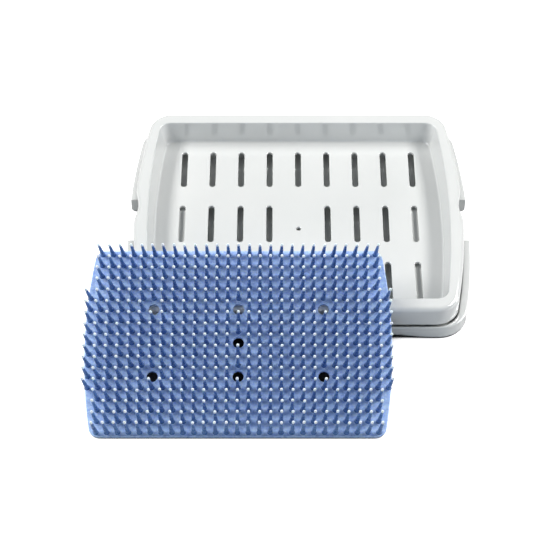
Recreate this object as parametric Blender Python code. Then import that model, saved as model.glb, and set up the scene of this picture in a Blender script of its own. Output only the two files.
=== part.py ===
"""Instrument tray: a slotted plastic base tray standing in its upturned lid, with a silicone finger mat
that leans on the tray's front rim.

Metres. +X runs along the tray, +Y to its back, +Z up. The origin is the centre of the lid's flat face,
which rests on the table.
"""
import math

import bmesh
import bpy
from mathutils import Matrix, Vector

MM = 0.001

# Lid, which lies upside down under the tray
LID_HALF_LENGTH = 146 * MM
LID_HALF_DEPTH = 118 * MM
LID_BOW = 650 * MM                  # radius of its bowed ends
LID_CORNER = 24 * MM
LID_HEIGHT = 13.8 * MM
LID_PLATE = 2.5 * MM
LID_GAP = 0.4 * MM                  # between the rim and the inner face of the lid's skirt
LID_EDGE = 3.0 * MM                 # rounding where the lid meets the table
LID_EDGE_EXTRA = 5.0 * MM           # more rounding along the middle of the front and back
LID_EDGE_FULL = 70 * MM             # the extra rounding is full inside this distance from the middle
LID_EDGE_NONE = 110 * MM            # and gone at this one
GRIP_HALF_WIDTH = 24 * MM           # finger notch through each end of the lid
GRIP_DEPTH = 8.5 * MM
GRIP_CORNER = 3.0 * MM
GRIP_Y = 4 * MM                     # the notch and the rim's scallop sit a little behind the middle
PAD_X = 100 * MM                    # raised rests in the lid, under the outer slots
PAD_Y = -31 * MM
PAD_LENGTH = 122 * MM
PAD_WIDTH = 15 * MM
PAD_TOP = 9 * MM

# Base tray
RIM_HALF_LENGTH = 139.7 * MM
RIM_HALF_DEPTH = 116 * MM
RIM_BOW = 568 * MM
RIM_CORNER = 20 * MM
RIM_TOP = 34 * MM
RIM_ROUND = 4.0 * MM                # along the rim's outer edge
RIM_LIP = 1.0 * MM                  # along its inner edge
OPENING_HALF_LENGTH = 128 * MM
OPENING_HALF_DEPTH = 103.5 * MM
OPENING_CORNER = 10 * MM
FLOOR_HALF_LENGTH = 123.6 * MM
FLOOR_HALF_DEPTH = 101.2 * MM
FLOOR_CORNER = 8 * MM
FLOOR_BOW = 745 * MM                # the opening and the floor share it
FLOOR_TOP = 13.3 * MM
FLOOR_FILLET = 2.0 * MM
WALL = 2.3 * MM
FLANGE_BOTTOM = 15.0 * MM
THUMB_DEPTH = 3.0 * MM              # shallow scallop in each end of the rim
THUMB_HALF_WIDTH = 21 * MM
REST_GAP = 0.3 * MM

# Drain slots in the tray's floor
SLOT_COLUMNS = 9
SLOT_ROWS = 3
SLOT_PITCH_X = 25 * MM
SLOT_PITCH_Y = 66 * MM
SLOT_LENGTH = 43 * MM
SLOT_WIDTH = 5.2 * MM
PIN_HOLE_RADIUS = 2.1 * MM
PIN_HOLE_Y = -6 * MM

# Feet moulded under the tray's floor: middle, length and whether the bar runs along Y
FOOT_WIDTH = 5 * MM
SIDE_FOOT = (60 * MM, 92.5 * MM, 60 * MM)
END_FOOT = (112 * MM, 0, 70 * MM)

# Finger mat
MAT_X = -49.3 * MM                  # the mat's middle
MAT_FRONT_Y = -221 * MM
MAT_LENGTH = 161 * MM               # front to back, along the sheet
MAT_HALF_WIDTH = 123.4 * MM
MAT_BOW_DEPTH = 7.5 * MM            # how far the bowed ends fall back at the corners
MAT_CORNER = 7 * MM
MAT_SHEET = 2.5 * MM
MAT_TILT = (12.9, 19.3, 17.5)       # degrees at the front edge, the middle and the back edge
MAT_FOOT_RADIUS = 3.5 * MM
MAT_FOOT_HEIGHT = 1.0 * MM
MAT_FOOT_INSET = 4 * MM
MAT_FRONT_Z = 0.9 * MM
FINGER_COLUMNS = 27
FINGER_ROWS = 17
FINGER_PITCH_X = 8.55 * MM
FINGER_PITCH_Y = 9.6 * MM
FINGER_BACK_INSET = 3.7 * MM        # from the back edge to the first row
FINGER_HEIGHT = 21 * MM
FINGER_HALF_BASE = 1.9 * MM
FINGER_SPLAY = 0.021                # outward shift of a finger's tip, per metre from the middle
OUTER_ROWS = range(4, 13)           # rows that have one more finger at each end
HOLE_RADIUS = 4.5 * MM
HOLES = ((5, 5), (13, 5), (21, 5), (13, 8), (5, 11), (13, 11), (21, 11))   # column, row

BOW_STEPS = 20
CORNER_STEPS = 6
STRAIGHT_STEPS = 10


def clear_scene():
    for old in list(bpy.data.objects):
        bpy.data.objects.remove(old, do_unlink=True)


def material(name, colour, roughness, subsurface=0.0):
    made = bpy.data.materials.new(name)
    made.use_nodes = True
    shader = made.node_tree.nodes["Principled BSDF"]
    shader.inputs["Base Color"].default_value = (*colour, 1.0)
    shader.inputs["Roughness"].default_value = roughness
    shader.inputs["Metallic"].default_value = 0.0
    shader.inputs["Subsurface Weight"].default_value = subsurface
    return made


def steps(first, last, count):
    """count + 1 evenly spaced values."""
    return [first + (last - first) * i / count for i in range(count + 1)]


def arc(centre_x, centre_y, radius, first, last, count):
    return [(centre_x + radius * math.cos(a), centre_y + radius * math.sin(a))
            for a in steps(first, last, count)]


def outline(half_length, half_depth, bow, corner):
    """A rectangle with bowed ends and round corners, anticlockwise from the front of the right end."""
    centre_y = half_depth - corner
    bow_x = half_length - bow
    centre_x = bow_x + math.sqrt((bow - corner) ** 2 - centre_y ** 2)
    meet = math.atan2(centre_y, centre_x - bow_x)
    half = arc(bow_x, 0, bow, -meet, meet, BOW_STEPS)
    half += arc(centre_x, centre_y, corner, meet, math.pi / 2, CORNER_STEPS)[1:]
    half += [(x, half_depth) for x in steps(centre_x, -centre_x, STRAIGHT_STEPS)[1:]]
    half += arc(-centre_x, centre_y, corner, math.pi / 2, math.pi - meet, CORNER_STEPS)[1:-1]
    return half + [(-x, -y) for x, y in half]


def skirt_outline(fraction, inset=0.0):
    """An outline in the lid's skirt: fraction runs from 0 on its outer face to 1 on its inner face.

    The outer face is bowed less than the rim and the inner face follows the rim, so the skirt is thin along
    the front and back and thick at the ends.
    """
    outer = (LID_HALF_LENGTH, LID_HALF_DEPTH, LID_BOW, LID_CORNER)
    inner = (RIM_HALF_LENGTH + LID_GAP, RIM_HALF_DEPTH + LID_GAP, RIM_BOW + LID_GAP, RIM_CORNER + LID_GAP)
    return outline(*(a + (b - a) * fraction - inset for a, b in zip(outer, inner)))


def rim_outline(inset):
    """The rim's outer edge, with the thumb scallop pressed into each end."""
    points = outline(RIM_HALF_LENGTH - inset, RIM_HALF_DEPTH - inset, RIM_BOW - inset, RIM_CORNER - inset)
    return [(x - math.copysign(thumb_dent(x, y), x), y) for x, y in points]


def thumb_dent(x, y):
    from_middle = abs(y - GRIP_Y)
    if from_middle >= THUMB_HALF_WIDTH or abs(x) < RIM_HALF_LENGTH / 2:
        return 0.0
    return THUMB_DEPTH * math.cos(math.pi * from_middle / (2 * THUMB_HALF_WIDTH)) ** 2


def opening_outline(outset):
    return outline(OPENING_HALF_LENGTH + outset, OPENING_HALF_DEPTH + outset, FLOOR_BOW + outset,
                   OPENING_CORNER + outset)


def floor_outline(outset):
    return outline(FLOOR_HALF_LENGTH + outset, FLOOR_HALF_DEPTH + outset, FLOOR_BOW + outset,
                   FLOOR_CORNER + outset)


def quarter(radius, count):
    """Offsets of a quarter round: how far in and how far down from its sharp corner, top first."""
    return [(radius * (1 - math.sin(a)), radius * (1 - math.cos(a)))
            for a in steps(0, math.pi / 2, count)]


def loft(name, loops, finish):
    """A closed solid through loops of equal point counts, capped at both ends."""
    mesh = bmesh.new()
    rings = [[mesh.verts.new(point) for point in loop] for loop in loops]
    count = len(rings[0])
    for lower, upper in zip(rings, rings[1:]):
        for i in range(count):
            j = (i + 1) % count
            mesh.faces.new((lower[i], lower[j], upper[j], upper[i]))
    mesh.faces.new(list(reversed(rings[0])))
    mesh.faces.new(rings[-1])
    return finish_object(name, mesh, finish)


def finish_object(name, mesh, finish=None):
    bmesh.ops.recalc_face_normals(mesh, faces=mesh.faces)
    data = bpy.data.meshes.new(name)
    mesh.to_mesh(data)
    mesh.free()
    data.shade_smooth()
    data.set_sharp_from_angle(angle=math.radians(35))
    made = bpy.data.objects.new(name, data)
    bpy.context.scene.collection.objects.link(made)
    if finish:
        data.materials.append(finish)
    return made


def level(points, height):
    return [Vector((x, y, height)) for x, y in points]


def capsule(centre_x, centre_y, length, width, along_y, segments=5):
    """A slot's outline: two half rounds joined by straight sides."""
    reach = (length - width) / 2
    points = [(x + reach, y) for x, y in arc(0, 0, width / 2, -math.pi / 2, math.pi / 2, segments)]
    points += [(-x, -y) for x, y in points]
    if along_y:
        points = [(-y, x) for x, y in points]
    return [(centre_x + x, centre_y + y) for x, y in points]


def add_prism(mesh, points, low, high, place=Matrix.Identity(4)):
    """Adds a closed prism with an anticlockwise outline to mesh."""
    bottom = [mesh.verts.new(place @ Vector((x, y, low))) for x, y in points]
    top = [mesh.verts.new(place @ Vector((x, y, high))) for x, y in points]
    mesh.faces.new(list(reversed(bottom)))
    mesh.faces.new(top)
    for i in range(len(points)):
        j = (i + 1) % len(points)
        mesh.faces.new((bottom[i], bottom[j], top[j], top[i]))


def combine(target, tool, operation):
    """Joins or cuts target with tool, which stays in the file as a hidden guide."""
    tool.hide_render = True
    tool.display_type = "WIRE"
    boolean = target.modifiers.new(operation.title(), "BOOLEAN")
    boolean.operation = operation
    boolean.solver = "EXACT"
    boolean.object = tool
    tool.parent = target.parent


def lid_edge(x, y):
    """The lower edge's rounding: larger along the middle of the front and back."""
    if abs(y) < RIM_HALF_DEPTH - LID_EDGE - LID_EDGE_EXTRA:
        return LID_EDGE
    blend = (LID_EDGE_NONE - abs(x)) / (LID_EDGE_NONE - LID_EDGE_FULL)
    blend = min(1.0, max(0.0, blend))
    return LID_EDGE + LID_EDGE_EXTRA * blend * blend * (3 - 2 * blend)


def lid_round(face, fraction):
    """One loop of the rounding between plate and skirt, on the lid's outer face (0) or inner face (1).

    fraction runs from 0 on the plate to 1 on the skirt.
    """
    angle = fraction * math.pi / 2
    points = []
    for (x, y), (inner_x, inner_y) in zip(skirt_outline(face), skirt_outline(face, LID_EDGE)):
        radius = lid_edge(x, y) - face * LID_PLATE / 2
        inward = (Vector((inner_x, inner_y)) - Vector((x, y))) / LID_EDGE
        shift = inward * radius * (1 - math.sin(angle))
        height = face * LID_PLATE + radius * (1 - math.cos(angle))
        points.append(Vector((x + shift.x, y + shift.y, height)))
    return points


def notch_outline():
    """The right end's notch about its own middle, anticlockwise, with round inner corners."""
    inside = LID_HALF_LENGTH - GRIP_DEPTH
    outside = LID_HALF_LENGTH + GRIP_DEPTH
    reach = GRIP_HALF_WIDTH - GRIP_CORNER
    points = [(outside, -GRIP_HALF_WIDTH), (outside, GRIP_HALF_WIDTH)]
    points += arc(inside + GRIP_CORNER, reach, GRIP_CORNER, math.pi / 2, math.pi, 4)
    points += arc(inside + GRIP_CORNER, -reach, GRIP_CORNER, math.pi, 1.5 * math.pi, 4)
    return points


def make_lid(finish):
    loops = [lid_round(0, f) for f in steps(0, 1, 5)]
    lip = (LID_HALF_DEPTH - RIM_HALF_DEPTH - LID_GAP) / 2
    for fraction, drop in ((0, lip), (0.25, 0.25 * lip), (0.5, 0), (0.75, 0.25 * lip), (1, lip)):
        loops += [level(skirt_outline(fraction), LID_HEIGHT - drop)]
    loops += [lid_round(1, f) for f in steps(1, 0, 4)]
    lid = loft("lid", loops, finish)
    pads = bmesh.new()
    for side in (1, -1):
        add_prism(pads, capsule(side * PAD_X, PAD_Y, PAD_LENGTH, PAD_WIDTH, True), LID_PLATE / 2, PAD_TOP)
    combine(lid, finish_object("join_pads", pads), "UNION")
    notches = bmesh.new()
    for side in (1, -1):
        add_prism(notches, [(side * x, side * y + GRIP_Y) for x, y in notch_outline()], -LID_HEIGHT,
                  2 * LID_HEIGHT)
    combine(lid, finish_object("cut_notches", notches), "DIFFERENCE")
    return lid


def make_tray(finish):
    under_rim = RIM_TOP - WALL
    floor_under = FLOOR_TOP - WALL
    loops = [level(floor_outline(-inward), FLOOR_TOP + rise) for inward, rise in quarter(FLOOR_FILLET, 3)]
    loops += [level(opening_outline(inward), RIM_TOP - down)
              for inward, down in reversed(quarter(RIM_LIP, 2))]
    loops += [level(rim_outline(inward), RIM_TOP - down) for inward, down in quarter(RIM_ROUND, 4)]
    loops += [level(rim_outline(0), FLANGE_BOTTOM), level(rim_outline(WALL), FLANGE_BOTTOM)]
    loops += [level(rim_outline(WALL), under_rim), level(opening_outline(WALL), under_rim)]
    loops += [level(floor_outline(WALL), FLOOR_TOP + FLOOR_FILLET)]
    loops += [level(floor_outline(WALL * 0.6), floor_under + WALL * 0.8)]
    loops += [level(floor_outline(-FLOOR_FILLET / 2), floor_under)]
    tray = loft("base_tray", loops, finish)
    feet = bmesh.new()
    bars = [(sx * SIDE_FOOT[0], sy * SIDE_FOOT[1], SIDE_FOOT[2], False) for sx in (1, -1) for sy in (1, -1)]
    bars += [(sx * END_FOOT[0], END_FOOT[1], END_FOOT[2], True) for sx in (1, -1)]
    for x, y, length, along_y in bars:
        add_prism(feet, capsule(x, y, length, FOOT_WIDTH, along_y), LID_PLATE + REST_GAP,
                  floor_under + WALL / 2)
    combine(tray, finish_object("join_feet", feet), "UNION")
    slots = bmesh.new()
    for row in range(SLOT_ROWS):
        for column in range(SLOT_COLUMNS):
            x = (column - (SLOT_COLUMNS - 1) / 2) * SLOT_PITCH_X
            y = (row - (SLOT_ROWS - 1) / 2) * SLOT_PITCH_Y
            if x == 0 and y == 0:
                points = arc(0, PIN_HOLE_Y, PIN_HOLE_RADIUS, 0, 2 * math.pi, 12)[:-1]
            else:
                points = capsule(x, y, SLOT_LENGTH, SLOT_WIDTH, True)
            add_prism(slots, points, floor_under - WALL, FLOOR_TOP + WALL)
    combine(tray, finish_object("cut_slots", slots), "DIFFERENCE")
    return tray


def mat_tilt(along):
    """The sheet's tilt at a distance from its front edge, in radians."""
    u = along / MAT_LENGTH
    front, middle, back = MAT_TILT
    tilt = front * (1 - u) * (1 - 2 * u) + middle * 4 * u * (1 - u) + back * u * (2 * u - 1)
    return math.radians(tilt)


def mat_point(along, count=80):
    """A point of the sheet's underside, relative to the middle of its front edge."""
    step = along / count
    y = sum(math.cos(mat_tilt(step * (i + 0.5))) for i in range(count)) * step
    z = sum(math.sin(mat_tilt(step * (i + 0.5))) for i in range(count)) * step
    return Vector((0, y, z + MAT_FRONT_Z))


def mat_frame(along, across=0.0):
    """A frame on the sheet's underside: X across, Y along the sheet, Z out of it."""
    place = Matrix.Translation(mat_point(along) + Vector((across, 0, 0)))
    return place @ Matrix.Rotation(mat_tilt(along), 4, "X")


def mat_half_width(along):
    from_middle = 2 * along / MAT_LENGTH - 1
    half = MAT_HALF_WIDTH - MAT_BOW_DEPTH * from_middle ** 2
    into_corner = MAT_CORNER - min(along, MAT_LENGTH - along)
    if into_corner > 0:
        half -= MAT_CORNER - math.sqrt(MAT_CORNER ** 2 - into_corner ** 2)
    return half


def mat_stations():
    """Where the sheet bends: between finger rows, and closer together at its round corners."""
    corner = [0, 0.07 * MAT_CORNER, 0.25 * MAT_CORNER, 0.55 * MAT_CORNER]
    between = [row_along(row) - FINGER_PITCH_Y / 2 for row in range(FINGER_ROWS - 1)]
    return sorted(corner + between + [MAT_LENGTH - d for d in corner])


def row_along(row):
    return MAT_LENGTH - FINGER_BACK_INSET - row * FINGER_PITCH_Y


def column_across(column):
    return (column - (FINGER_COLUMNS - 1) / 2) * FINGER_PITCH_X


def add_sheet(mesh):
    rings = []
    for along in mat_stations():
        half = mat_half_width(along)
        place = mat_frame(along)
        corners = ((-half, 0), (half, 0), (half, MAT_SHEET), (-half, MAT_SHEET))
        rings.append([mesh.verts.new(place @ Vector((x, 0, z))) for x, z in corners])
    for near, far in zip(rings, rings[1:]):
        for i in range(4):
            j = (i + 1) % 4
            mesh.faces.new((near[i], near[j], far[j], far[i]))
    mesh.faces.new(list(reversed(rings[0])))
    mesh.faces.new(rings[-1])


def finger_places():
    for row in range(FINGER_ROWS):
        extra = 1 if row in OUTER_ROWS else 0
        for column in range(-extra, FINGER_COLUMNS + extra):
            if (column, row) not in HOLES:
                yield column_across(column), row_along(row)


def add_finger(mesh, across, along):
    place = mat_frame(along, across)
    half = FINGER_HALF_BASE
    root = MAT_SHEET / 2
    corners = ((-half, -half), (half, -half), (half, half), (-half, half))
    base = [mesh.verts.new(place @ Vector((x, y, root))) for x, y in corners]
    tip = mesh.verts.new(place @ Vector((across * FINGER_SPLAY, 0, MAT_SHEET + FINGER_HEIGHT)))
    mesh.faces.new(list(reversed(base)))
    for i in range(4):
        mesh.faces.new((base[i], base[(i + 1) % 4], tip))


def make_mat(finish):
    sheet = bmesh.new()
    add_sheet(sheet)
    mat = finish_object("finger_mat", sheet, finish)
    mat.parent = bpy.data.objects.new("mat_place", None)
    bpy.context.scene.collection.objects.link(mat.parent)
    mat.parent.location = (MAT_X, MAT_FRONT_Y, 0)
    fingers = bmesh.new()
    for across, along in finger_places():
        add_finger(fingers, across, along)
    for column in sorted({column for column, row in HOLES}):
        place = mat_frame(MAT_FOOT_INSET, column_across(column))
        foot = arc(0, 0, MAT_FOOT_RADIUS, 0, 2 * math.pi, 12)[:-1]
        add_prism(fingers, foot, -MAT_FOOT_HEIGHT, MAT_SHEET / 2, place)
    combine(mat, finish_object("join_fingers", fingers), "UNION")
    holes = bmesh.new()
    for column, row in HOLES:
        place = mat_frame(row_along(row), column_across(column))
        round_hole = arc(0, 0, HOLE_RADIUS, 0, 2 * math.pi, 16)[:-1]
        add_prism(holes, round_hole, -MAT_SHEET, 2 * MAT_SHEET, place)
    combine(mat, finish_object("cut_holes", holes), "DIFFERENCE")
    return mat


clear_scene()
white = material("white plastic", (0.84, 0.85, 0.83), 0.28)
blue = material("blue silicone", (0.14, 0.27, 0.58), 0.45, 0.15)
make_lid(white)
make_tray(white)
make_mat(blue)
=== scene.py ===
"""Looks of the instrument tray: white moulded tray and lid, and a blue silicone finger mat."""
import math
import random

import bmesh
import bpy
from mathutils import Matrix, Vector


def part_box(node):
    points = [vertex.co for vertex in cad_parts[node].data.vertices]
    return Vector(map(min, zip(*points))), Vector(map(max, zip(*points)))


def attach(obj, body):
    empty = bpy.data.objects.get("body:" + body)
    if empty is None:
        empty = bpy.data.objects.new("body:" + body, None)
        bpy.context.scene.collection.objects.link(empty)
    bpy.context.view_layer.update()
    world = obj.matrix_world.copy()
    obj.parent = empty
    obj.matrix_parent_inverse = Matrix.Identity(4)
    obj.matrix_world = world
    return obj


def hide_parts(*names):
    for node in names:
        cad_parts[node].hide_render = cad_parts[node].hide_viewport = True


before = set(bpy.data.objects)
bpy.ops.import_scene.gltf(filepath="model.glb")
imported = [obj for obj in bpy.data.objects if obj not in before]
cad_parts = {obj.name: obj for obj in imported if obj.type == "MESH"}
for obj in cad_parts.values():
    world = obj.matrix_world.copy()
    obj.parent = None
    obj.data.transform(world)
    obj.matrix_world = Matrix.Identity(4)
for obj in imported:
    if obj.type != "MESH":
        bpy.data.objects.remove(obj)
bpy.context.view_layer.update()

MM = 0.001

LID_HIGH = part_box("lid")[1]
TRAY_LOW, TRAY_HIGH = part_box("base_tray")
MAT_LOW, MAT_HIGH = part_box("finger_mat")

# Lid, upside down under the tray
LID_HALF_LENGTH = LID_HIGH[0]
LID_HALF_DEPTH = LID_HIGH[1]
LID_HEIGHT = LID_HIGH[2]
LID_BOW = 650 * MM
LID_CORNER = 24 * MM
LID_PLATE = 2.5 * MM
LID_GAP = 0.4 * MM
LID_EDGE = 3.0 * MM
LID_EDGE_EXTRA = 5.0 * MM
LID_EDGE_FULL = 70 * MM
LID_EDGE_NONE = 110 * MM
GRIP_HALF_WIDTH = 24 * MM
GRIP_DEPTH = 8.5 * MM
GRIP_CORNER = 3.0 * MM
GRIP_Y = 4 * MM
PAD_X = 100 * MM
PAD_Y = -31 * MM
PAD_LENGTH = 122 * MM
PAD_WIDTH = 15 * MM
PAD_TOP = 9 * MM
PAD_EDGE = 1.2 * MM

# Base tray
THUMB_DEPTH = 3.0 * MM
THUMB_HALF_WIDTH = 21 * MM
RIM_HALF_LENGTH = 139.7 * MM
RIM_HALF_DEPTH = TRAY_HIGH[1]
RIM_BOW = 568 * MM
RIM_CORNER = 20 * MM
RIM_TOP = TRAY_HIGH[2]
RIM_ROUND = 4.0 * MM
RIM_LIP = 1.0 * MM
OPENING_HALF_LENGTH = 128 * MM
OPENING_HALF_DEPTH = 103.5 * MM
OPENING_CORNER = 10 * MM
FLOOR_HALF_LENGTH = 123.6 * MM
FLOOR_HALF_DEPTH = 101.2 * MM
FLOOR_CORNER = 8 * MM
FLOOR_BOW = 745 * MM
FLOOR_TOP = 13.3 * MM
FLOOR_FILLET = 2.0 * MM
WALL = 2.3 * MM
# Rounding under the floor's edge: parts of the wall's thickness inward and of the fillet down
UNDER_FLOOR_ROUND = ((0.25, 0.5), (0.8, 0.85))
FLANGE_BOTTOM = 15.0 * MM
SLOT_COLUMNS = 9
SLOT_ROWS = 3
SLOT_PITCH_X = 25 * MM
SLOT_PITCH_Y = 66 * MM
SLOT_LENGTH = 43 * MM
SLOT_WIDTH = 5.2 * MM
# Depth below the floor and widening there, in millimetres, of a slot's soft edge and the cutter above it
SLOT_FLARE = ((0.5, 0), (0.22, 0.06), (0.06, 0.22), (0, 0.5), (-1, 1.5))
PIN_HOLE_RADIUS = 2.1 * MM
PIN_HOLE_Y = -6 * MM
FOOT_WIDTH = 5 * MM
FOOT_EDGE = 0.6 * MM
# X and Y of a foot's middle, and its length; the other feet mirror these two
SIDE_FOOT = (60 * MM, 92.5 * MM, 60 * MM)
END_FOOT = (112 * MM, 0, 70 * MM)

# Finger mat
MAT_X = (MAT_LOW[0] + MAT_HIGH[0]) / 2
MAT_FRONT_Y = -221 * MM
MAT_LENGTH = 161 * MM
MAT_HALF_WIDTH = 123.4 * MM
MAT_BOW_DEPTH = 7.5 * MM
MAT_CORNER = 7 * MM
# Angle in a corner's round, in radians, at which its cross-sections start: just past the rounded edge
MAT_CORNER_START = 0.55
MAT_SHEET = 2.5 * MM
MAT_EDGE = 0.9 * MM
# The sheet's tilt at its front edge, middle and back edge, in degrees
MAT_TILT = (12.9, 19.3, 17.5)
MAT_FRONT_Z = 0.9 * MM
MAT_FOOT_RADIUS = 3.5 * MM
MAT_FOOT_HEIGHT = 1.0 * MM
MAT_FOOT_INSET = 4 * MM
FINGER_COLUMNS = 27
FINGER_ROWS = 17
FINGER_PITCH_X = 8.55 * MM
FINGER_PITCH_Y = 9.6 * MM
FINGER_BACK_INSET = 3.7 * MM
FINGER_HEIGHT = 21 * MM
# How much farther the tips are spread than the roots, as a part of their distance from the middle
FINGER_SPLAY = 0.021
FINGER_SEGMENTS = 14
# Height up the finger and radius there, in millimetres, from the root inside the sheet to the tip
FINGER_PROFILE = ((-1.2, 2.5), (0.0, 2.3), (0.3, 2.0), (0.9, 1.85), (3.0, 1.72), (11.0, 1.36),
                  (18.0, 1.0), (18.8, 1.18), (19.9, 1.16), (20.6, 0.82), (20.92, 0.38))
# Rows with one more finger at each end
OUTER_ROWS = range(4, 13)
# Random lean of a finger, sideways and along the mat
LEAN_X = 0.010
LEAN_Y = 0.008
LEAN_SEED = 7
HOLE_RADIUS = 4.5 * MM
# Column and row of the finger that each drain hole takes the place of
HOLES = ((5, 5), (13, 5), (21, 5), (13, 8), (5, 11), (13, 11), (21, 11))

# Small soft edges: the tray's flange, the lid's notches and the mat's holes
SMALL_EDGE = 0.5 * MM
# Parts of such an edge's size, in from the side face and in from the end face
EDGE_STEPS = ((1.0, 0.0), (0.3, 0.3), (0.0, 1.0))

# Points along an outline's bowed end, corner and straight side
END_STEPS = 72
CORNER_STEPS = 16
SIDE_STEPS = 48

# How deep red, green and blue light spreads inside each material
PLASTIC_DEPTH = (1.0 * MM, 1.0 * MM, 1.0 * MM)
SILICONE_DEPTH = (0.8 * MM, 1.2 * MM, 3.0 * MM)
# Parts of a finger's height between which it turns pale: a painted highlight on the tip
HIGHLIGHT_FROM = 0.852
HIGHLIGHT_FULL = 0.88

# Colours
PLASTIC_DEEP = (0.71, 0.725, 0.71)
PLASTIC_LIGHT = (0.76, 0.77, 0.755)
# Painted light: the sheet's blues, the same silicone as the fingers but lighter, in place of light the
# fingers block
LIT_SHEET_DEEP = (0.37, 0.54, 0.93)
LIT_SHEET_LIGHT = (0.45, 0.635, 1.0)
SHEET_SPECKLE = (0.60, 0.76, 1.0)
SHEET_BLOT = (0.24, 0.36, 0.70)
# Painted shade: the fingers' blues, the same silicone as the sheet but darker, as if their sides were
# shaded
SHADED_FINGER_DEEP = (0.07, 0.16, 0.40)
SHADED_FINGER_LIGHT = (0.105, 0.225, 0.48)
# Painted highlight: the near white of the fingers' tips
FINGER_TIP_HIGHLIGHT = (0.87, 0.96, 1.0)
SKY_COLOUR = (0.84, 0.92, 1.0, 1)
SOFTBOX_COLOUR = (1.0, 0.992, 0.985)
FILL_COLOUR = (0.74, 0.86, 1.0)
WHITE = (1, 1, 1)

# Camera: it looks down at the table from in front, with the set a little left and low of the middle
CAMERA_TARGET = Vector((-15.9 * MM, -53.2 * MM, 0))
CAMERA_DISTANCE = 1.604
CAMERA_ELEVATION = math.radians(48)
CAMERA_LENS = 122.14
CAMERA_SENSOR = 36
CAMERA_CLIP = 100

# Table: its size, how far under the object it lies, and how far its two painted shadows reach
TABLE_HALF = 30.0
TABLE_DROP = 0.2 * MM
SHADOW_REACH = 120 * MM
CONTACT_REACH = 20 * MM
SHADOW_SAMPLES = 32

# Softboxes, left and right: angle from straight up in degrees, distance, how far behind the middle
# each stands and aims, size and power
SOFTBOX_ANGLE = 46
SOFTBOX_DISTANCE = 1.5
SOFTBOX_Y = 0.26
SOFTBOX_AIM_Y = 0.11
SOFTBOX_SIZE = (1.25, 0.34)
SOFTBOX_POWER = 20
# Low lamps, left and right, and the fill in front
LOW_LAMP_X = 1.8
LOW_LAMP_Y = 0.35
LOW_LAMP_Z = 0.45
LOW_LAMP_SIZE = (0.5, 0.4)
LOW_LAMP_POWER = 6
FILL_PLACE = (0, -2.2, 0.5)
FILL_SIZE = (2.4, 0.7)
FILL_POWER = 7.6
SKY_STRENGTH = 0.16


def steps(first, last, count):
    """count + 1 evenly spaced values."""
    return [first + (last - first) * i / count for i in range(count + 1)]


def smoothstep(low, high, value):
    """0 at low and below, 1 at high and above, and an even S-curve between."""
    t = min(1.0, max(0.0, (value - low) / (high - low)))
    return t * t * (3 - 2 * t)


def arc(centre_x, centre_y, radius, first, last, count):
    """Points on a circle from one angle to another."""
    return [(centre_x + radius * math.cos(a), centre_y + radius * math.sin(a))
            for a in steps(first, last, count)]


def outline(half_length, half_depth, bow, corner):
    """A rectangle with bowed ends and round corners, anticlockwise from the front of the right end."""
    centre_y = half_depth - corner
    bow_x = half_length - bow
    centre_x = bow_x + math.sqrt((bow - corner) ** 2 - centre_y ** 2)
    meet = math.atan2(centre_y, centre_x - bow_x)
    half = arc(bow_x, 0, bow, -meet, meet, END_STEPS)
    half += arc(centre_x, centre_y, corner, meet, math.pi / 2, CORNER_STEPS)[1:]
    half += [(x, half_depth) for x in steps(centre_x, -centre_x, SIDE_STEPS)[1:]]
    half += arc(-centre_x, centre_y, corner, math.pi / 2, math.pi - meet, CORNER_STEPS)[1:-1]
    return half + [(-x, -y) for x, y in half]


def skirt_outline(fraction, inset=0.0):
    """An outline in the lid's skirt: fraction runs from 0 on its outer face to 1 on its inner face."""
    outer = (LID_HALF_LENGTH, LID_HALF_DEPTH, LID_BOW, LID_CORNER)
    rim = (RIM_HALF_LENGTH, RIM_HALF_DEPTH, RIM_BOW, RIM_CORNER)
    return outline(*(a + (b + LID_GAP - a) * fraction - inset for a, b in zip(outer, rim)))


def thumb_dent(x, y):
    """How far the rim's ends are drawn in at a point, for the thumb scallops."""
    from_middle = abs(y - GRIP_Y)
    if from_middle >= THUMB_HALF_WIDTH or abs(x) < RIM_HALF_LENGTH / 2:
        return 0.0
    return THUMB_DEPTH * math.cos(math.pi * from_middle / (2 * THUMB_HALF_WIDTH)) ** 2


def rim_outline(inset):
    points = outline(RIM_HALF_LENGTH - inset, RIM_HALF_DEPTH - inset, RIM_BOW - inset,
                     RIM_CORNER - inset)
    return [(x - math.copysign(thumb_dent(x, y), x), y) for x, y in points]


def opening_outline(outset):
    return outline(OPENING_HALF_LENGTH + outset, OPENING_HALF_DEPTH + outset, FLOOR_BOW + outset,
                   OPENING_CORNER + outset)


def floor_outline(outset):
    return outline(FLOOR_HALF_LENGTH + outset, FLOOR_HALF_DEPTH + outset, FLOOR_BOW + outset,
                   FLOOR_CORNER + outset)


def quarter(radius, count):
    """Offsets of a quarter round: how far in and how far down from its sharp corner, top first."""
    return [(radius * (1 - math.sin(a)), radius * (1 - math.cos(a)))
            for a in steps(0, math.pi / 2, count)]


def level(points, height):
    return [Vector((x, y, height)) for x, y in points]


def make_object(name, mesh, finish=None):
    bmesh.ops.recalc_face_normals(mesh, faces=mesh.faces)
    data = bpy.data.meshes.new(name)
    mesh.to_mesh(data)
    mesh.free()
    made = bpy.data.objects.new(name, data)
    bpy.context.scene.collection.objects.link(made)
    if finish:
        data.materials.append(finish)
    return made


def add_tube(mesh, loops):
    """Adds a tube through loops of equal point counts, closed at its first, and returns its vertices."""
    rings = [[mesh.verts.new(point) for point in loop] for loop in loops]
    count = len(rings[0])
    for lower, upper in zip(rings, rings[1:]):
        for i in range(count):
            j = (i + 1) % count
            mesh.faces.new((lower[i], lower[j], upper[j], upper[i]))
    mesh.faces.new(list(reversed(rings[0])))
    return rings


def add_loft(mesh, loops):
    """Adds a closed solid through loops to mesh."""
    rings = add_tube(mesh, loops)
    mesh.faces.new(rings[-1])


def loft(name, loops, finish):
    """A new object of one closed solid through loops."""
    mesh = bmesh.new()
    add_loft(mesh, loops)
    return make_object(name, mesh, finish)


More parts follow.
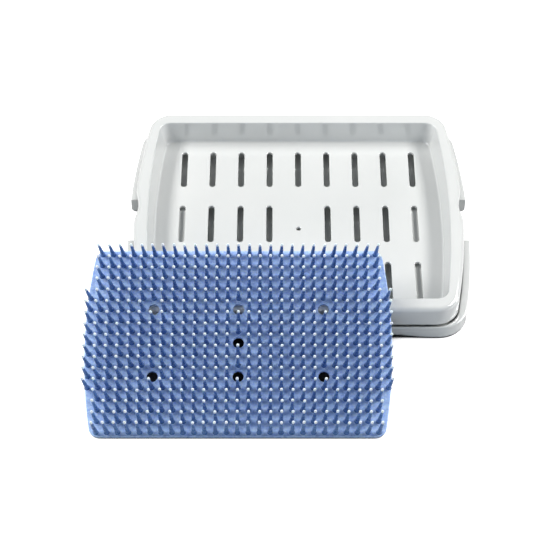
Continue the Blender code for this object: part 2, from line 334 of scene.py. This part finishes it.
def combine(target, tool, operation):
    """Joins or cuts target with tool for good, and removes the tool."""
    boolean = target.modifiers.new(operation, "BOOLEAN")
    boolean.operation = operation
    boolean.solver = "EXACT"
    boolean.object = tool
    depsgraph = bpy.context.evaluated_depsgraph_get()
    result = bpy.data.meshes.new_from_object(target.evaluated_get(depsgraph))
    target.modifiers.remove(boolean)
    target.data = result
    bpy.data.objects.remove(tool, do_unlink=True)


def smooth(piece, angle=35):
    """Smooth shading that keeps flat faces flat next to their rounded edges."""
    piece.data.shade_smooth()
    piece.data.set_sharp_from_angle(angle=math.radians(angle))
    weighted = piece.modifiers.new("Weighted normals", "WEIGHTED_NORMAL")
    weighted.keep_sharp = True
    weighted.weight = 90


def capsule(centre_x, centre_y, length, width, along_y, segments=10):
    """An outline of two half rounds joined by straight sides."""
    reach = (length - width) / 2
    points = [(x + reach, y) for x, y in arc(0, 0, width / 2, -math.pi / 2, math.pi / 2, segments)]
    points += [(-x, -y) for x, y in points]
    if along_y:
        points = [(-y, x) for x, y in points]
    return [(centre_x + x, centre_y + y) for x, y in points]


def turned(place, levels, segments=32):
    """Loops of a turned solid along a frame's Z, through (height, radius) pairs."""
    return [[place @ Vector((x, y, z)) for x, y in arc(0, 0, radius, 0, 2 * math.pi, segments)[:-1]]
            for z, radius in levels]


def add_bar(mesh, x, y, length, width, along_y, levels):
    """Adds a round-ended bar to mesh, through (height, inset) pairs."""
    add_loft(mesh, [level(capsule(x, y, length - 2 * inset, width - 2 * inset, along_y), z)
                    for z, inset in levels])


# ---------------------------------------------------------------- materials

def new_material(name):
    made = bpy.data.materials.new(name)
    made.use_nodes = True
    tree = made.node_tree
    return made, tree, tree.nodes["Principled BSDF"]


def node(tree, kind, **inputs):
    made = tree.nodes.new(kind)
    for key, value in inputs.items():
        made.inputs[key].default_value = value
    return made


def noise(tree, scale, detail, roughness=0.5):
    """A noise value over the object's own coordinates."""
    place = tree.nodes.new("ShaderNodeTexCoord")
    made = node(tree, "ShaderNodeTexNoise", Scale=scale, Detail=detail, Roughness=roughness)
    tree.links.new(place.outputs["Object"], made.inputs["Vector"])
    return made.outputs["Fac"]


def spread(tree, value, low=0.0, high=1.0, from_low=0.3, from_high=0.7):
    """Maps a value from one range to another and keeps it there."""
    made = node(tree, "ShaderNodeMapRange")
    made.inputs["From Min"].default_value = from_low
    made.inputs["From Max"].default_value = from_high
    made.inputs["To Min"].default_value = low
    made.inputs["To Max"].default_value = high
    tree.links.new(value, made.inputs["Value"])
    return made.outputs["Result"]


def mix(tree, fac, first, second):
    """Mixes two colours, each a colour or a socket."""
    made = tree.nodes.new("ShaderNodeMix")
    made.data_type = "RGBA"
    tree.links.new(fac, made.inputs[0])
    for index, colour in ((6, first), (7, second)):
        if isinstance(colour, tuple):
            made.inputs[index].default_value = (*colour, 1.0)
        else:
            tree.links.new(colour, made.inputs[index])
    return made.outputs[2]


def times(tree, first, second):
    """The product of two sockets."""
    made = tree.nodes.new("ShaderNodeMath")
    made.operation = "MULTIPLY"
    tree.links.new(first, made.inputs[0])
    tree.links.new(second, made.inputs[1])
    return made.outputs[0]


def add_bump(tree, shader, heights):
    """Chains bumps from (height socket, strength, distance) to the shader's normal."""
    normal = None
    for height, strength, distance in heights:
        bump = node(tree, "ShaderNodeBump", Strength=strength, Distance=distance)
        tree.links.new(height, bump.inputs["Height"])
        if normal:
            tree.links.new(normal, bump.inputs["Normal"])
        normal = bump.outputs["Normal"]
    tree.links.new(normal, shader.inputs["Normal"])


def white_plastic():
    """Glossy moulded plastic, hardly uneven in tone and gloss."""
    made, tree, shader = new_material("white moulded plastic")
    tone = spread(tree, noise(tree, scale=9, detail=3))
    tree.links.new(mix(tree, tone, PLASTIC_DEEP, PLASTIC_LIGHT), shader.inputs["Base Color"])
    gloss = spread(tree, noise(tree, scale=40, detail=5, roughness=0.6), low=0.05, high=0.11)
    tree.links.new(gloss, shader.inputs["Roughness"])
    shader.inputs["IOR"].default_value = 1.6
    shader.inputs["Coat Weight"].default_value = 1.0
    shader.inputs["Coat Roughness"].default_value = 0.03
    shader.inputs["Coat IOR"].default_value = 1.6
    shader.inputs["Subsurface Weight"].default_value = 0.05
    shader.inputs["Subsurface Radius"].default_value = PLASTIC_DEPTH
    shader.inputs["Subsurface Scale"].default_value = 1.0
    ripple = noise(tree, scale=30, detail=2)
    grain = noise(tree, scale=2500, detail=2)
    add_bump(tree, shader, ((ripple, 0.08, 0.4 * MM), (grain, 0.05, 0.05 * MM)))
    return made


def blue_silicone(name, deep, light):
    """Soft satin silicone, cloudy between two blues; returns its colour too, for more on top."""
    made, tree, shader = new_material(name)
    cloud = spread(tree, noise(tree, scale=70, detail=4, roughness=0.65), from_low=0.38, from_high=0.62)
    colour = mix(tree, cloud, deep, light)
    satin = spread(tree, noise(tree, scale=300, detail=3), low=0.2, high=0.34)
    tree.links.new(satin, shader.inputs["Roughness"])
    shader.inputs["IOR"].default_value = 1.43
    shader.inputs["Subsurface Weight"].default_value = 0.15
    shader.inputs["Subsurface Radius"].default_value = SILICONE_DEPTH
    shader.inputs["Subsurface Scale"].default_value = 1.0
    shader.inputs["Sheen Weight"].default_value = 0.08
    ripple = noise(tree, scale=140, detail=3)
    dust = noise(tree, scale=1800, detail=3, roughness=0.7)
    add_bump(tree, shader, ((ripple, 0.25, 0.6 * MM), (dust, 0.15, 0.08 * MM)))
    return made, tree, shader, colour


def lit_sheet_silicone():
    """The mat's mottled face: pale speckles and darker blots, over blues painted lighter than the
    fingers' as painted light on the same silicone.
    """
    made, tree, shader, colour = blue_silicone("blue silicone sheet painted light", LIT_SHEET_DEEP, LIT_SHEET_LIGHT)
    speckle = spread(tree, noise(tree, scale=480, detail=3, roughness=0.75), high=0.75,
                     from_low=0.46, from_high=0.62)
    colour = mix(tree, speckle, colour, SHEET_SPECKLE)
    blot = spread(tree, noise(tree, scale=260, detail=3, roughness=0.7), high=0.6,
                  from_low=0.50, from_high=0.64)
    tree.links.new(mix(tree, blot, colour, SHEET_BLOT), shader.inputs["Base Color"])
    return made


def shaded_finger_silicone():
    """The fingers' blue, painted darker than the sheet's as painted shade, and nearly white at the tip as
    a painted highlight.
    """
    # Painted shade: the darker finger blues stand in for the shade on the fingers' sides
    made, tree, shader, colour = blue_silicone("blue silicone fingers painted shade and highlight", SHADED_FINGER_DEEP, SHADED_FINGER_LIGHT)
    height = tree.nodes.new("ShaderNodeAttribute")
    height.attribute_name = "height"
    # Painted highlight: the top of each finger mixes to near white
    tip_highlight = spread(tree, height.outputs["Fac"], from_low=HIGHLIGHT_FROM, from_high=HIGHLIGHT_FULL)
    tree.links.new(mix(tree, tip_highlight, colour, FINGER_TIP_HIGHLIGHT), shader.inputs["Base Color"])
    return made


# ---------------------------------------------------------------- lid

def lid_edge(x, y):
    """The lower edge's rounding: larger along the middle of the front and back."""
    if abs(y) < RIM_HALF_DEPTH - LID_EDGE - LID_EDGE_EXTRA:
        return LID_EDGE
    return LID_EDGE + LID_EDGE_EXTRA * (1 - smoothstep(LID_EDGE_FULL, LID_EDGE_NONE, abs(x)))


def lid_round(face, fraction):
    """One loop of the rounding between plate and skirt, on the lid's outer face (0) or inner face (1).

    fraction runs from 0 on the plate to 1 on the skirt.
    """
    angle = fraction * math.pi / 2
    points = []
    for (x, y), (inner_x, inner_y) in zip(skirt_outline(face), skirt_outline(face, LID_EDGE)):
        radius = lid_edge(x, y) - face * LID_PLATE / 2
        inward = (Vector((inner_x, inner_y)) - Vector((x, y))) / LID_EDGE
        shift = inward * radius * (1 - math.sin(angle))
        height = face * LID_PLATE + radius * (1 - math.cos(angle))
        points.append(Vector((x + shift.x, y + shift.y, height)))
    return points


def lid_pads():
    """The raised rests in the lid, with rounded top edges."""
    mesh = bmesh.new()
    levels = [(LID_PLATE / 2, 0.0)]
    levels += [(PAD_TOP - down, inward) for inward, down in reversed(quarter(PAD_EDGE, 5))]
    for side in (1, -1):
        add_bar(mesh, side * PAD_X, PAD_Y, PAD_LENGTH, PAD_WIDTH, True, levels)
    return make_object("join_pads", mesh)


def notch_outline(outset):
    """The right end's notch about its own middle, anticlockwise, with round inner corners."""
    inside = LID_HALF_LENGTH - GRIP_DEPTH - outset
    outside = LID_HALF_LENGTH + GRIP_DEPTH
    half_width = GRIP_HALF_WIDTH + outset
    corner = GRIP_CORNER + outset
    points = [(outside, -half_width), (outside, half_width)]
    points += arc(inside + corner, half_width - corner, corner, math.pi / 2, math.pi, 10)
    points += arc(inside + corner, corner - half_width, corner, math.pi, 1.5 * math.pi, 10)
    return points


def lid_notches():
    """Cutters of the finger notches, flared at the lid's flat face for a soft edge."""
    mesh = bmesh.new()
    levels = [(-SMALL_EDGE, 2 * SMALL_EDGE)]
    levels += [(SMALL_EDGE * up, SMALL_EDGE * out) for out, up in EDGE_STEPS]
    levels += [(2 * LID_HEIGHT, 0)]
    for side in (1, -1):
        add_loft(mesh, [level([(side * x, side * y + GRIP_Y) for x, y in notch_outline(outset)], z)
                        for z, outset in levels])
    return make_object("cut_notches", mesh)


def make_lid(finish):
    loops = [lid_round(0, fraction) for fraction in steps(0, 1, 10)]
    lip = (LID_HALF_DEPTH - RIM_HALF_DEPTH - LID_GAP) / 2
    for angle in steps(0, math.pi, 8):
        top = LID_HEIGHT - lip * (1 - math.sin(angle))
        loops.append(level(skirt_outline((1 - math.cos(angle)) / 2), top))
    loops += [lid_round(1, fraction) for fraction in steps(1, 0, 8)]
    lid = loft("lid_shell", loops, finish)
    combine(lid, lid_pads(), "UNION")
    combine(lid, lid_notches(), "DIFFERENCE")
    smooth(lid)
    return lid


# ---------------------------------------------------------------- tray

def slot_cutter():
    """Cutters of the drain slots and the small hole, flared at the top for a soft edge."""
    mesh = bmesh.new()
    flare = [(FLOOR_TOP - 2 * WALL, 0)]
    flare += [(FLOOR_TOP - down * MM, -out * MM) for down, out in SLOT_FLARE]
    for row in range(SLOT_ROWS):
        for column in range(SLOT_COLUMNS):
            x = (column - (SLOT_COLUMNS - 1) / 2) * SLOT_PITCH_X
            y = (row - (SLOT_ROWS - 1) / 2) * SLOT_PITCH_Y
            if x == 0 and y == 0:
                levels = [(z, PIN_HOLE_RADIUS - inset) for z, inset in flare]
                add_loft(mesh, turned(Matrix.Translation((0, PIN_HOLE_Y, 0)), levels, 24))
            else:
                add_bar(mesh, x, y, SLOT_LENGTH, SLOT_WIDTH, True, flare)
    return make_object("cut_slots", mesh)


def tray_feet():
    """The six bar feet under the floor, with softened lower edges."""
    mesh = bmesh.new()
    bottom = TRAY_LOW[2]
    levels = ((bottom, FOOT_EDGE), (bottom + 0.2 * FOOT_EDGE, 0.3 * FOOT_EDGE), (bottom + FOOT_EDGE, 0),
              (FLOOR_TOP - WALL / 2, 0))
    bars = [(right * SIDE_FOOT[0], back * SIDE_FOOT[1], SIDE_FOOT[2], False)
            for right in (1, -1) for back in (1, -1)]
    bars += [(right * END_FOOT[0], END_FOOT[1], END_FOOT[2], True) for right in (1, -1)]
    for x, y, length, along_y in bars:
        add_bar(mesh, x, y, length, FOOT_WIDTH, along_y, levels)
    return make_object("join_feet", mesh)


def make_tray(finish):
    """The tray's skin as loops: up the inside from the floor, over the rim, and back under the floor."""
    under_rim = RIM_TOP - WALL
    floor_under = FLOOR_TOP - WALL
    loops = [level(floor_outline(-inward), FLOOR_TOP + rise) for inward, rise in quarter(FLOOR_FILLET, 8)]
    loops += [level(opening_outline(inward), RIM_TOP - down)
              for inward, down in reversed(quarter(RIM_LIP, 5))]
    loops += [level(rim_outline(inward), RIM_TOP - down) for inward, down in quarter(RIM_ROUND, 10)]
    for inward, up in reversed(EDGE_STEPS):
        loops.append(level(rim_outline(SMALL_EDGE * inward), FLANGE_BOTTOM + SMALL_EDGE * up))
    for outward, up in EDGE_STEPS:
        loops.append(level(rim_outline(WALL - SMALL_EDGE * outward), FLANGE_BOTTOM + SMALL_EDGE * up))
    loops += [level(rim_outline(WALL), under_rim), level(opening_outline(WALL), under_rim)]
    loops += [level(floor_outline(WALL), FLOOR_TOP + FLOOR_FILLET)]
    for inward, down in UNDER_FLOOR_ROUND:
        loops.append(level(floor_outline(WALL * (1 - inward)), floor_under + FLOOR_FILLET * (1 - down)))
    loops += [level(floor_outline(-FLOOR_FILLET / 2), floor_under)]
    tray = loft("tray_shell", loops, finish)
    combine(tray, tray_feet(), "UNION")
    combine(tray, slot_cutter(), "DIFFERENCE")
    smooth(tray)
    return tray


# ---------------------------------------------------------------- mat

def mat_tilt(along):
    """The sheet's tilt at a distance from its front edge, in radians."""
    from_front = along / MAT_LENGTH
    from_back = 1 - from_front
    front, middle, back = MAT_TILT
    tilt = (front * from_back * (from_back - from_front) + middle * 4 * from_front * from_back
            + back * from_front * (from_front - from_back))
    return math.radians(tilt)


def mat_point(along, count=80):
    """A point of the sheet's underside on the mat's middle line."""
    step = along / count
    y = sum(math.cos(mat_tilt(step * (i + 0.5))) for i in range(count)) * step
    z = sum(math.sin(mat_tilt(step * (i + 0.5))) for i in range(count)) * step
    return Vector((MAT_X, MAT_FRONT_Y + y, MAT_FRONT_Z + z))


def mat_frame(along, across=0.0):
    """A frame on the sheet's underside: X across, Y along the sheet, Z out of it."""
    place = Matrix.Translation(mat_point(along) + Vector((across, 0, 0)))
    return place @ Matrix.Rotation(mat_tilt(along), 4, "X")


def mat_half_width(along):
    """Half the sheet's width, with its bowed sides and round corners."""
    from_middle = 2 * along / MAT_LENGTH - 1
    half = MAT_HALF_WIDTH - MAT_BOW_DEPTH * from_middle ** 2
    into_corner = MAT_CORNER - min(along, MAT_LENGTH - along)
    if into_corner > 0:
        half -= MAT_CORNER - math.sqrt(MAT_CORNER ** 2 - into_corner ** 2)
    return half


def mat_section(along):
    """The sheet's cross-section: a thin bar with rounded edges, which closes in at the ends too."""
    edge = MAT_EDGE
    into_end = max(0.0, edge - min(along, MAT_LENGTH - along))
    thinner = edge - math.sqrt(edge ** 2 - into_end ** 2)
    half = mat_half_width(along)
    corners = []
    for centre_x, centre_z, first in ((half - edge, edge, -0.5), (half - edge, MAT_SHEET - edge, 0),
                                      (edge - half, MAT_SHEET - edge, 0.5), (edge - half, edge, 1)):
        corners += arc(centre_x, centre_z, edge, first * math.pi, (first + 0.5) * math.pi, 5)
    squash = 1 - 2 * thinner / MAT_SHEET
    middle = MAT_SHEET / 2
    place = mat_frame(along)
    return [place @ Vector((x, 0, middle + (z - middle) * squash)) for x, z in corners]


def mat_stations():
    """Distances from the front edge of the sheet's cross-sections, closer together at both ends."""
    front = [MAT_EDGE * (1 - math.cos(angle)) for angle in steps(0, math.pi / 2, 5)]
    front += [MAT_CORNER * (1 - math.cos(angle)) for angle in steps(MAT_CORNER_START, math.pi / 2, 9)]
    middle = steps(MAT_CORNER, MAT_LENGTH - MAT_CORNER, 60)[1:-1]
    return front + middle + [MAT_LENGTH - along for along in reversed(front)]


def row_along(row):
    return MAT_LENGTH - FINGER_BACK_INSET - row * FINGER_PITCH_Y


def column_across(column):
    return (column - (FINGER_COLUMNS - 1) / 2) * FINGER_PITCH_X


def mat_feet():
    """The three round feet under the sheet's front edge, in line with the columns of holes."""
    mesh = bmesh.new()
    levels = ((-MAT_FOOT_HEIGHT, MAT_FOOT_RADIUS * 0.85), (-MAT_FOOT_HEIGHT * 0.7, MAT_FOOT_RADIUS),
              (MAT_SHEET / 2, MAT_FOOT_RADIUS))
    for column in sorted({column for column, row in HOLES}):
        add_loft(mesh, turned(mat_frame(MAT_FOOT_INSET, column_across(column)), levels))
    return make_object("join_feet", mesh)


def mat_holes():
    """Cutters of the drain holes, flared at both faces of the sheet for soft edges."""
    mesh = bmesh.new()
    lower = [(-SMALL_EDGE, HOLE_RADIUS + 2 * SMALL_EDGE)]
    lower += [(SMALL_EDGE * up, HOLE_RADIUS + SMALL_EDGE * out) for out, up in EDGE_STEPS]
    levels = lower + [(MAT_SHEET - up, radius) for up, radius in reversed(lower)]
    for column, row in HOLES:
        add_loft(mesh, turned(mat_frame(row_along(row), column_across(column)), levels))
    return make_object("cut_holes", mesh)


def make_sheet(finish):
    sheet = loft("mat_sheet", [mat_section(along) for along in mat_stations()], finish)
    combine(sheet, mat_feet(), "UNION")
    combine(sheet, mat_holes(), "DIFFERENCE")
    smooth(sheet, angle=40)
    return sheet


def finger_places():
    """Where the fingers stand, across and along the sheet: everywhere in the grid but at the holes."""
    for row in range(FINGER_ROWS):
        extra = 1 if row in OUTER_ROWS else 0
        for column in range(-extra, FINGER_COLUMNS + extra):
            if (column, row) not in HOLES:
                yield column_across(column), row_along(row)


def add_finger(mesh, heights, across, along, dice):
    """One tapered finger with a flared root and a rounded tip; it leans a very little its own way."""
    place = mat_frame(along, across)
    lean_x = across * FINGER_SPLAY / FINGER_HEIGHT + dice.gauss(0, LEAN_X)
    lean_y = dice.gauss(0, LEAN_Y)

    def centre(height):
        up = max(0.0, height)
        return Vector((lean_x * up, lean_y * up, MAT_SHEET + height))

    loops = [[place @ (centre(height * MM) + Vector((x * MM, y * MM, 0)))
              for x, y in arc(0, 0, radius, 0, 2 * math.pi, FINGER_SEGMENTS)[:-1]]
             for height, radius in FINGER_PROFILE]
    rings = add_tube(mesh, loops)
    for ring, (height, _) in zip(rings, FINGER_PROFILE):
        for vert in ring:
            vert[heights] = max(0.0, height * MM) / FINGER_HEIGHT
    top = mesh.verts.new(place @ centre(FINGER_HEIGHT))
    top[heights] = 1.0
    last = rings[-1]
    for i in range(FINGER_SEGMENTS):
        mesh.faces.new((last[i], last[(i + 1) % FINGER_SEGMENTS], top))


def make_fingers(finish):
    dice = random.Random(LEAN_SEED)
    mesh = bmesh.new()
    heights = mesh.verts.layers.float.new("height")
    for across, along in finger_places():
        add_finger(mesh, heights, across, along, dice)
    fingers = make_object("mat_fingers", mesh, finish)
    fingers.data.shade_smooth()
    return fingers


# ---------------------------------------------------------------- studio

def openness(tree, reach):
    """How open a point of the table is to the sky, from 0 to 1, looking as far as reach."""
    made = node(tree, "ShaderNodeAmbientOcclusion", Distance=reach)
    made.samples = SHADOW_SAMPLES
    return made.outputs["AO"]


def white_table():
    """A table top that stays white around the object, by a glow only the camera sees, and is dark only
    where the object covers it, with painted shade there.
    """
    made, tree, shader = new_material("white table")
    shader.inputs["Roughness"].default_value = 0.9
    shader.inputs["Specular IOR Level"].default_value = 0.0
    under = openness(tree, SHADOW_REACH)
    contact = openness(tree, CONTACT_REACH)
    # Painted shade: the table's colour darkens where the object closes it in
    painted_shade = spread(tree, under, low=0.05, high=0.6, from_low=0.2, from_high=0.5)
    tree.links.new(painted_shade, shader.inputs["Base Color"])
    # The camera-only glow keeps the table white, and stays off where the object covers it or touches it
    uncovered = times(tree, spread(tree, under, from_low=0.2, from_high=0.32),
                      spread(tree, contact, from_low=0.32, from_high=0.5))
    path = tree.nodes.new("ShaderNodeLightPath")
    glow = times(tree, path.outputs["Is Camera Ray"], uncovered)
    shader.inputs["Emission Color"].default_value = (*WHITE, 1)
    tree.links.new(glow, shader.inputs["Emission Strength"])
    return made


def make_floor():
    mesh = bmesh.new()
    corners = ((-TABLE_HALF, -TABLE_HALF), (TABLE_HALF, -TABLE_HALF), (TABLE_HALF, TABLE_HALF),
               (-TABLE_HALF, TABLE_HALF))
    mesh.faces.new([mesh.verts.new(point) for point in level(corners, -TABLE_DROP)])
    make_object("floor", mesh, white_table())


def area_light(name, place, aim, size, power, colour):
    data = bpy.data.lights.new(name, "AREA")
    data.shape = "RECTANGLE"
    data.size, data.size_y = size
    data.energy = power
    data.color = colour
    light = bpy.data.objects.new(name, data)
    light.location = place
    light.rotation_euler = (Vector(aim) - Vector(place)).to_track_quat("-Z", "Y").to_euler()
    bpy.context.scene.collection.objects.link(light)


def make_studio():
    """Softboxes and low lamps left and right, with nothing straight overhead, so the slots stay dark."""
    world = bpy.data.worlds.new("studio")
    world.use_nodes = True
    background = world.node_tree.nodes["Background"]
    background.inputs["Color"].default_value = SKY_COLOUR
    background.inputs["Strength"].default_value = SKY_STRENGTH
    bpy.context.scene.world = world
    angle = math.radians(SOFTBOX_ANGLE)
    for name, side in (("left", -1), ("right", 1)):
        place = (side * SOFTBOX_DISTANCE * math.sin(angle), SOFTBOX_Y, SOFTBOX_DISTANCE * math.cos(angle))
        area_light("softbox_" + name, place, (0, SOFTBOX_AIM_Y, 0), SOFTBOX_SIZE, SOFTBOX_POWER,
                   SOFTBOX_COLOUR)
        area_light("low_lamp_" + name, (side * LOW_LAMP_X, LOW_LAMP_Y, LOW_LAMP_Z), (0, 0, 0),
                   LOW_LAMP_SIZE, LOW_LAMP_POWER, WHITE)
    area_light("front_fill", FILL_PLACE, (0, 0, 0), FILL_SIZE, FILL_POWER, FILL_COLOUR)
    scene = bpy.context.scene
    scene.view_settings.view_transform = "Standard"
    scene.view_settings.look = "None"


def make_camera():
    data = bpy.data.cameras.new("camera")
    data.lens = CAMERA_LENS
    data.sensor_width = CAMERA_SENSOR
    data.clip_end = CAMERA_CLIP
    camera = bpy.data.objects.new("camera", data)
    back = Vector((0, -math.cos(CAMERA_ELEVATION), math.sin(CAMERA_ELEVATION)))
    camera.location = CAMERA_TARGET + back * CAMERA_DISTANCE
    camera.rotation_euler = (math.pi / 2 - CAMERA_ELEVATION, 0, 0)
    bpy.context.scene.collection.objects.link(camera)
    bpy.context.scene.camera = camera


def main():
    make_camera()
    make_studio()
    make_floor()
    plastic = white_plastic()
    lid = make_lid(plastic)
    tray = make_tray(plastic)
    sheet = make_sheet(lit_sheet_silicone())
    fingers = make_fingers(shaded_finger_silicone())
    for piece, body, slot in ((lid, "lid", "white_plastic"),
                              (tray, "base_tray", "white_plastic"),
                              (sheet, "finger_mat", "blue_silicone"),
                              (fingers, "finger_mat", "blue_silicone")):
        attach(piece, body)
        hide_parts(body)


main()
